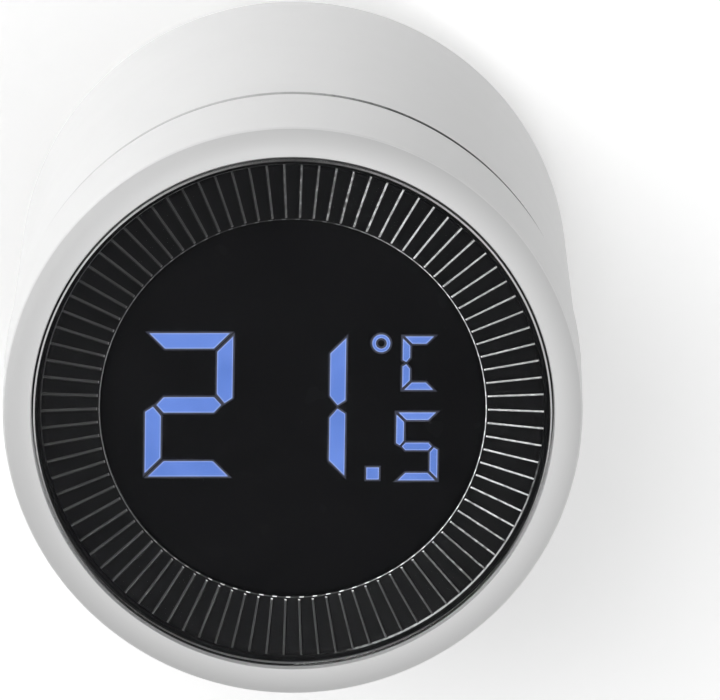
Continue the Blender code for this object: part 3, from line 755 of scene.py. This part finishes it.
def build_lens():
    profile = [
        (0, LENS_LOW),
        (LENS_R, LENS_LOW, 0.06),
        (LENS_R, LENS_TOP - LENS_CHAMFER),
        (LENS_R - LENS_CHAMFER, LENS_TOP),
        (0, LENS_TOP),
    ]
    obj = make_object("lens_pane", lathe(rounded(profile, 3), FINE_ROUND))
    # The edge chamfer gets the painted highlight.
    paint(obj, (LENS, LENS_EDGE_HIGHLIGHT), lens_highlight_mask)
    piece(obj, "housing", LENS, ["front_lens"], 30)


def land_height(radius):
    """The funnel's surface between ribs."""
    return LAND_LOW + (LAND_HIGH - LAND_LOW) * (radius - RIB_INNER) / (RIB_OUTER - RIB_INNER)


def rib_lift(across, radius):
    """How far a rib's surface stands above the land: steep flanks, a narrow crest, a round inner end."""
    out = abs(across) if radius >= RIB_END else math.hypot(across, RIB_END - radius)
    if out >= RIB_HALF:
        return 0.0
    if out <= CREST_HALF:
        return RIB_HEIGHT - CREST_FALL * out * out / CREST_HALF
    share = (RIB_HALF - out) / (RIB_HALF - CREST_HALF)
    return (RIB_HEIGHT - CREST_FALL * CREST_HALF) * math.sin(share * math.pi / 2)


def bezel_highlight_mask(x, y, z):
    """Which finish a face of the ribbed ring gets: the black land, or a painted highlight on the crest,
    bead, rib end or outer step.

    The crest's finish also takes in the rib's clockwise flank.
    """
    if z < UNDERSIDE:
        return 0
    radius = math.hypot(x, y)
    turn = math.atan2(y, x) / PITCH
    share = turn - math.floor(turn + FLANK_SHARE)
    if RIB_INNER < radius < BEAD_R:
        return 3 if HOOK_START < share < HOOK_SHARE else 2
    if RIB_OUTER < radius < RIB_OUTER + STEP_WIDTH:
        return 4
    if share * PITCH * radius < CREST_HALF and radius < RIB_OUTER:
        if radius < TIP_R:
            return 3 if radius > TIP_INNER_R else 0
        return 1
    return 0


def rib_row(radius, height, lift=False):
    """A ring of points, close together across each rib and wide apart on the land between."""
    foot, crest = RIB_HALF, CREST_HALF
    across = [-foot - 0.02, -foot, -foot + 0.02, -foot + 0.05, -crest, 0]
    across += [-offset for offset in reversed(across[:-1])]
    row = []
    for rib in range(RIBS):
        centre = PITCH * rib
        for offset in across:
            x, y = polar(radius, centre + offset / radius)
            row.append((x, y, height + (rib_lift(offset, radius) if lift else 0.0)))
        for share in (0.3, 0.5, 0.7):
            x, y = polar(radius, centre + PITCH * share)
            row.append((x, y, height))
    return row


def build_bezel():
    """The ribbed ring: an outer wall and step, the ribbed funnel, and a bead at the inner edge."""
    end = RIB_END
    radii = [RIB_OUTER, RIB_OUTER - 0.5, 22.5, 21.0, 19.6, 19.0, end + 0.05]
    radii += [end, end - 0.03, end - CREST_HALF, end - 0.08, end - 0.11, end - 0.13, end - RIB_HALF, BEAD_R]
    foot = land_height(RIB_OUTER)
    outer = [
        (BEZEL_R, BEZEL_LOW),
        (BEZEL_R, BEZEL_TOP, 0.08),
        (RIB_OUTER + STEP_WIDTH, BEZEL_TOP, 0.03),
        (RIB_OUTER + 0.02, foot + 0.02, 0.02),
        (RIB_OUTER, foot),
    ]
    bead = land_height(RIB_INNER)
    inner = [
        (RIB_INNER + 0.005, bead - 0.02),
        (RIB_INNER - 0.02, bead - 0.06),
        (RIB_INNER - 0.03, BEZEL_LOW),
    ]
    rows = [rib_row(*point) for point in rounded(outer, 4)[:-1]]
    rows += [rib_row(radius, land_height(radius), True) for radius in radii]
    rows += [rib_row(*point) for point in inner]
    obj = make_object("rib_ring", grid_mesh(rows))
    # The land stays black; the crests, bead, rib ends and outer step get painted highlights.
    paint(obj, (RIB_BLACK, CREST_HIGHLIGHT, BEAD_HIGHLIGHT, HOOK_HIGHLIGHT, STEP_HIGHLIGHT), bezel_highlight_mask)
    piece(obj, "housing", RIB_BLACK, ["ribbed_bezel"], 62)


def build_window():
    """The flat black disc that the readout shines through."""
    profile = [(0, WINDOW_LOW), (WINDOW_R, WINDOW_LOW), (WINDOW_R, WINDOW_TOP, 0.08), (0, WINDOW_TOP)]
    obj = make_object("readout_disc", lathe(rounded(profile, 3), 192))
    piece(obj, "housing", WINDOW_BLACK, ["display_window"], 30)


# ---------------------------------------------------------------- the readout

SLANT = 0.015
SUNK = 0.02
SPILL_LIFT = 0.004
EDGE_LIFT = 0.010
MIDDLE_LIFT = 0.014
SPILL_GROW = 0.17
EDGE_WIDTH = 0.09
DEGREE_AT = (8.47, 6.22)
DEGREE_SPILL = (0.32, 1.05)
DEGREE_EDGE = (0.52, 0.86)
DEGREE_MIDDLE = (0.60, 0.79)


def segment(width, height, thick, gap, name):
    """One mitred bar of a seven-bar numeral with its lower left corner at the origin."""
    w, h, t, g = width, height, thick, gap
    m, k = h / 2, thick / 2
    lean = g * 0.8
    top = [(g, h), (w - g, h), (w - t - g, h - t), (t + g, h - t)]
    right_top = [(w, h - g), (w, m + k * 0.9), (w - k, m + g * 0.55), (w - t, m + k + g), (w - t, h - t - g)]
    right_low = [(w, g), (w, m - k * 0.9), (w - k, m - g * 0.55), (w - t, m - k - g), (w - t, t + g)]
    middle = [(k + g, m), (t + lean, m + k), (w - t - lean, m + k), (w - k - g, m)]
    middle += [(w - t - lean, m - k), (t + lean, m - k)]
    shapes = {
        "top": top,
        "bottom": [(x, h - y) for x, y in top],
        "right_top": right_top,
        "right_low": right_low,
        "left_top": [(w - x, y) for x, y in right_top],
        "left_low": [(w - x, y) for x, y in right_low],
        "middle": middle,
    }
    return shapes[name]


def glyph(at, size, thick, gap, names):
    """A numeral's lit bars. at is its lower left corner, and size its width and height."""
    bars = []
    for name in names:
        bars.append([(at[0] + x, at[1] + y) for x, y in segment(size[0], size[1], thick, gap, name)])
    return bars


def inset(points, amount):
    """A convex outline moved inward, or outward where the amount is below 0."""
    area = sum(a[0] * b[1] - b[0] * a[1] for a, b in zip(points, points[1:] + points[:1]))
    turn = 1 if area > 0 else -1
    lines = []
    for a, b in zip(points, points[1:] + points[:1]):
        side = (Vector(b) - Vector(a)).normalized()
        normal = Vector((-side.y, side.x)) * turn
        lines.append((Vector(a) + normal * amount, side))
    made = []
    for (p, u), (q, v) in zip(lines[-1:] + lines[:-1], lines):
        cross = u.x * v.y - u.y * v.x
        step = ((q - p).x * v.y - (q - p).y * v.x) / cross if abs(cross) > 1e-9 else 0.0
        made.append(tuple(p + u * step))
    return made


READOUT = (
    glyph((-14.11, -6.80), (8.33, 14.03), 1.5, 0.32, ("top", "right_top", "middle", "left_low", "bottom"))
    + glyph((-3.42, -7.05), (8.45, 14.1), 1.5, 0.32, ("right_top", "right_low"))
    + glyph((10.44, 1.67), (3.16, 5.22), 0.71, 0.2, ("top", "left_top", "left_low", "bottom"))
    + glyph((9.94, -7.21), (3.98, 6.66), 0.73, 0.2, ("top", "left_top", "middle", "right_low", "bottom"))
    + [[(7.13, -7.12), (8.34, -7.12), (8.34, -5.94), (7.13, -5.94)]]
)


def build_readout():
    """Lit bars just proud of the readout disc: a bright edge, a softer middle and a faint spill."""
    low = WINDOW_TOP - SUNK
    middle, edge, spill = [], [], []
    for bar in READOUT:
        outline = [(x + SLANT * y, y) for x, y in bar]
        spill.append(prism(inset(outline, -SPILL_GROW), low, WINDOW_TOP + SPILL_LIFT))
        edge.append(prism(outline, low, WINDOW_TOP + EDGE_LIFT))
        middle.append(prism(inset(outline, EDGE_WIDTH), low, WINDOW_TOP + MIDDLE_LIFT))
    for (inner, outer), lift, parts in (
        (DEGREE_SPILL, SPILL_LIFT, spill),
        (DEGREE_EDGE, EDGE_LIFT, edge),
        (DEGREE_MIDDLE, MIDDLE_LIFT, middle),
    ):
        high = WINDOW_TOP + lift
        ring = [(inner, low), (outer, low), (outer, high), (inner, high)]
        parts.append(lathe(ring, 64, DEGREE_AT))
    for name, parts, finish in (
        ("readout_bars", middle, glowing("bar_glow", (0.06, 0.17, 0.62), (0.105, 0.235, 0.76))),
        ("readout_bar_edges", edge, glowing("bar_edge_glow", (0.22, 0.33, 0.80), (0.28, 0.41, 0.88))),
        ("readout_spill", spill, glowing("bar_spill_glow", (0.0, 0.001, 0.012), (0.001, 0.0015, 0.02))),
    ):
        piece(make_object(name, joined(*parts)), "housing", finish, (), 30)


# ---------------------------------------------------------------- the nut and the collar

NUT_R = 17.0
NUT_STEPS = 192
GRIPS = 24
FLUTE_DEPTH = 0.9
GRIP_HEIGHTS = (3.0, 6.0, 9.0, 12.0)
NUT_END = ((0.0, 0.0, 0.9), (0.12, 0.35, 0.45), (0.35, 0.75, 0.18), (0.8, 1.0, 0.0))
NUT_TOP_BORE_R = 13.6
LIP_R = 12.3
LIP_LOW = 10.5
LIP_CHAMFER = 0.2
THREAD_R = 14.2
THREAD_DEPTH = 0.8
THREAD_PITCH = 1.5
THREAD_TOP = 10.0
THREAD_LOW = 1.1
THREAD_FADE = 1.2
THREAD_ROWS = 66

PLUNGER_BORE_R = 4.25
COLLAR_R = 12.0
COLLAR_BORE_R = 9.5
COLLAR_FLOOR = 10.5
GROOVE_R = 11.1
GROOVE_LOW = 9.1
GROOVE_TOP = 10.2
FLANGE_LOW = 16.5


def grip_radius(angle, share):
    """The fluted grip's outline. share is how deep its flutes are."""
    return NUT_R - FLUTE_DEPTH * share * (0.5 + 0.5 * math.cos(GRIPS * angle)) ** 2.2


def thread_radius(angle, z):
    """The internal thread's outline, which fades out at its top."""
    phase = (z / THREAD_PITCH - angle / (2 * math.pi)) % 1.0
    wave = max(0.0, min(1.0, (abs(phase - 0.5) * 2 - 0.12) / 0.76))
    fade = min(1.0, (THREAD_TOP - z) / THREAD_FADE)
    return THREAD_R + THREAD_DEPTH * wave * fade


def nut_row(radius_at, z):
    """A ring of points at a height, whose radius goes by the angle."""
    row = []
    for step in range(NUT_STEPS):
        angle = 2 * math.pi * step / NUT_STEPS
        row.append((*polar(radius_at(angle), angle), z))
    return row


def build_nut():
    """The coupling nut: a fluted grip with chamfered ends and a real internal thread."""
    grip = list(NUT_END)
    grip += [(z, 1.0, 0.0) for z in GRIP_HEIGHTS]
    grip += [(NUT_TOP - z, share, trim) for z, share, trim in reversed(NUT_END)]
    rows = [nut_row(lambda angle: grip_radius(angle, share) - trim, z) for z, share, trim in grip]
    top = [
        (NUT_TOP_BORE_R, NUT_TOP),
        (LIP_R + LIP_CHAMFER, NUT_TOP),
        (LIP_R, NUT_TOP - LIP_CHAMFER),
        (LIP_R, LIP_LOW + LIP_CHAMFER),
        (LIP_R + LIP_CHAMFER, LIP_LOW),
        (THREAD_R, LIP_LOW),
        (THREAD_R, THREAD_TOP + 0.2),
    ]
    rows += [nut_row(lambda angle: radius, z) for radius, z in top]
    for i in range(THREAD_ROWS + 1):
        z = THREAD_TOP - (THREAD_TOP - THREAD_LOW) * i / THREAD_ROWS
        rows.append(nut_row(lambda angle: thread_radius(angle, z), z))
    mouth = [(15.1, 0.35), (15.3, 0.0)]
    rows += [nut_row(lambda angle: radius, z) for radius, z in mouth]
    obj = make_object("threaded_nut", grid_mesh(rows))
    piece(obj, "nut", NUT_METAL, ["coupling_nut"], 38)


def build_collar():
    """The neck that the nut turns on, with the clip's groove and a flange under the body."""
    profile = [
        (PLUNGER_BORE_R, COLLAR_LOW, 0.15),
        (COLLAR_R, COLLAR_LOW, 0.4),
        (COLLAR_R, GROOVE_LOW),
        (GROOVE_R, GROOVE_LOW),
        (GROOVE_R, GROOVE_TOP),
        (COLLAR_R, GROOVE_TOP),
        (COLLAR_R, FLANGE_LOW),
        (FLANGE_R, FLANGE_LOW, 0.3),
        (FLANGE_R, COLLAR_TOP, 0.2),
        (COLLAR_BORE_R, COLLAR_TOP, 0.2),
        (COLLAR_BORE_R, COLLAR_FLOOR),
        (PLUNGER_BORE_R, COLLAR_FLOOR),
    ]
    obj = make_object("collar_neck", lathe(rounded(profile, 4), 160))
    piece(obj, "housing", DARK_GREY, ["base_collar"], 35)


# ---------------------------------------------------------------- the cells

BUTTON_HEIGHT = 1.0
BUTTON_R = 2.6
BASE_R = 5.4
CAN_MARGIN = 0.9


def cell_profile(radius, can):
    """A cell standing on its base: a rolled can of a height, and the button on its top."""
    return [
        (0, 0.12),
        (BASE_R - 0.4, 0.12, 0.3),
        (BASE_R, 0.0, 0.1),
        (radius - 0.5, 0.0, 0.3),
        (radius - 0.35, 0.18, 0.2),
        (radius, 0.35, 0.3),
        (radius, can - 0.5, 0.4),
        (radius - 0.4, can - 0.1, 0.2),
        (radius - 1.0, can, 0.2),
        (BUTTON_R + 2.0, can - 0.15, 0.2),
        (BUTTON_R + 1.0, can, 0.2),
        (BUTTON_R, can + 0.1, 0.15),
        (BUTTON_R, can + BUTTON_HEIGHT, 0.3),
        (0, can + BUTTON_HEIGHT),
    ]


def build_cells():
    """Two AA cells, one button up and one button down, with bare metal ends."""
    for name, button_up in (("battery_left", True), ("battery_right", False)):
        low, high = low_high(name)
        x, y = (low[0] + high[0]) / 2, (low[1] + high[1]) / 2
        bottom, top = low[2], high[2]
        radius = (high[0] - low[0]) / 2
        profile = rounded(cell_profile(radius, top - bottom - BUTTON_HEIGHT), 3)
        body = [(r, bottom + z if button_up else top - z) for r, z in profile]
        obj = make_object(f"cell_{name.split('_')[1]}", lathe(body, 96, (x, y)))
        jacket = cell_material(f"{name}_jacket", bottom, top, button_up)

        def cell_finish(face_x, face_y, _):
            return 1 if math.hypot(face_x - x, face_y - y) < radius - CAN_MARGIN else 0

        paint(obj, (jacket, NICKEL), cell_finish)
        piece(obj, "housing", jacket, [name], 40)


# ---------------------------------------------------------------- what the frame carries

CARRIED = {
    FRAME_BLACK: ("display_frame", "led_display", "encoder_body"),
    DARK_GREY: (
        "inner_frame",
        "front_frame",
        "lower_gear_plate",
        "upper_gear_plate",
        "gear_pillar_1",
        "gear_pillar_2",
        "gear_pillar_3",
    ),
    ACETAL: ("dial_gear", "encoder_gear", "drive_gear", "first_gear", "second_gear", "third_gear"),
    STEEL: (
        "thrust_plate",
        "thrust_washer",
        "first_axle",
        "second_axle",
        "motor",
        "motor_shaft",
        "plunger",
        "retaining_clip",
        *(f"{kind}_screw_{number}" for kind in ("base", "front", "gear") for number in (1, 2, 3)),
    ),
    NICKEL: ("bridge_contact", "positive_contact", "negative_contact", "lower_spring", "upper_spring"),
    BRASS: ("motor_pinion",),
    BOARD: ("display_board",),
}


def dress_frame():
    """The hidden nodes stay as they are and only get their finishes."""
    for finish, names in CARRIED.items():
        for name in names:
            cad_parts[name].data.materials.clear()
            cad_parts[name].data.materials.append(finish)


# ---------------------------------------------------------------- floor, light and camera

FLOOR_RINGS = (60, 150, 400, 1000, 3000)
FLOOR_STEPS = 96
FLOOR_Z = -0.03
FLOOR_GLOW = 0.34
FAR_FLOOR_GLOW = 0.8
GLOW_START = 0.35
GLOW_END = 1.3

FOCUS = Vector((0.0, 0.0, 0.06))
STEEPEST_GLOSS = 85
# name, azimuth and elevation in degrees, distance and size in metres, power in watts
LIGHTS = (
    ("low_right_box", 330, 15, 0.9, 0.4, 0.35),
    ("low_left_box", 165, 15, 0.9, 0.4, 0.4),
    ("right_box", 325, 40, 0.9, 0.4, 0.7),
    ("left_box", 145, 40, 0.9, 0.4, 0.9),
    ("high_right_box", 330, 62, 0.9, 0.3, 1.1),
    ("key_box", 120, 74, 0.9, 0.25, 3.0),
    ("overhead_box", 0, 87, 0.9, 0.2, 1.4),
    ("bounce_card", 135, -14, 0.24, 0.11, 0.25),
    ("left_bounce_card", 180, -14, 0.24, 0.11, 0.16),
)
WORLD_LIGHT = 0.0
WORLD_SEEN = 1.0

FOCAL_LENGTH = 498.45
CAMERA_AT = (0.001808, 0.207066, 1.014979)
CAMERA_TURN = (-12.2137, -0.28476, 0.0)


def build_floor():
    """A plain pale floor that glows a little, more so far away."""
    rows = [[(0, 0, FLOOR_Z)]]
    for radius in FLOOR_RINGS:
        rows.append([(*polar(radius, 2 * math.pi * k / FLOOR_STEPS), FLOOR_Z) for k in range(FLOOR_STEPS)])
    obj = make_object("studio_floor", grid_mesh(rows, False))
    made, tree, shader = new_material("floor_finish")
    coords = object_coords(tree)
    paper = noise(tree, coords, 40.0, 4.0)
    pale = ramp(tree, paper, [(0.3, (0.89, 0.89, 0.89)), (0.7, (0.9, 0.9, 0.9))])
    tree.links.new(pale, shader.inputs["Base Color"])
    shader.inputs["Roughness"].default_value = 0.8
    shader.inputs["Specular IOR Level"].default_value = 0.1
    shader.inputs["Emission Color"].default_value = (1, 1, 1, 1)
    glow = spread(tree, length(tree, coords), FLOOR_GLOW, FAR_FLOOR_GLOW, GLOW_START, GLOW_END)
    tree.links.new(glow, shader.inputs["Emission Strength"])
    obj.data.materials.append(made)
    smooth(obj)


def area_light(name, azimuth, elevation, distance, size, power):
    """A soft box aimed at the object. Azimuth runs from +X towards +Y.

    A box steeper than STEEPEST_GLOSS only lights: it leaves no glare in the lens.
    """
    data = bpy.data.lights.new(name, "AREA")
    data.shape = "DISK"
    data.size = size
    data.energy = power
    obj = bpy.data.objects.new(name, data)
    level, rise = polar(1.0, math.radians(elevation))
    way = Vector((*polar(level, math.radians(azimuth)), rise))
    obj.location = FOCUS + way * distance
    obj.rotation_euler = (-way).to_track_quat("-Z", "Y").to_euler()
    obj.visible_camera = False
    obj.visible_glossy = elevation < STEEPEST_GLOSS
    obj.visible_transmission = elevation < STEEPEST_GLOSS
    bpy.context.scene.collection.objects.link(obj)


def background(tree, strength):
    node = tree.nodes.new("ShaderNodeBackground")
    node.inputs["Color"].default_value = (1, 1, 1, 1)
    node.inputs["Strength"].default_value = strength
    return node.outputs["Background"]


def build_world():
    """A white backdrop for the camera that gives the object no light of its own."""
    world = bpy.data.worlds.new("studio")
    bpy.context.scene.world = world
    world.use_nodes = True
    tree = world.node_tree
    tree.nodes.clear()
    path = tree.nodes.new("ShaderNodeLightPath")
    choose = tree.nodes.new("ShaderNodeMixShader")
    output = tree.nodes.new("ShaderNodeOutputWorld")
    tree.links.new(path.outputs["Is Camera Ray"], choose.inputs["Fac"])
    tree.links.new(background(tree, WORLD_LIGHT), choose.inputs[1])
    tree.links.new(background(tree, WORLD_SEEN), choose.inputs[2])
    tree.links.new(choose.outputs["Shader"], output.inputs["Surface"])


def build_camera():
    data = bpy.data.cameras.new("view")
    data.sensor_width = 36.0
    data.lens = FOCAL_LENGTH
    data.clip_start = 0.05
    data.clip_end = 20.0
    obj = bpy.data.objects.new("view", data)
    obj.location = CAMERA_AT
    obj.rotation_euler = Euler([math.radians(degrees) for degrees in CAMERA_TURN], "XYZ")
    bpy.context.scene.collection.objects.link(obj)
    bpy.context.scene.camera = obj


def main():
    build_camera()
    build_dial()
    build_shell()
    build_door()
    build_lens()
    build_bezel()
    build_window()
    build_readout()
    build_nut()
    build_collar()
    build_cells()
    dress_frame()
    build_floor()
    build_world()
    for light in LIGHTS:
        area_light(*light)
    bpy.context.scene.view_settings.view_transform = "Standard"
    bpy.context.scene.view_settings.look = "None"


main()
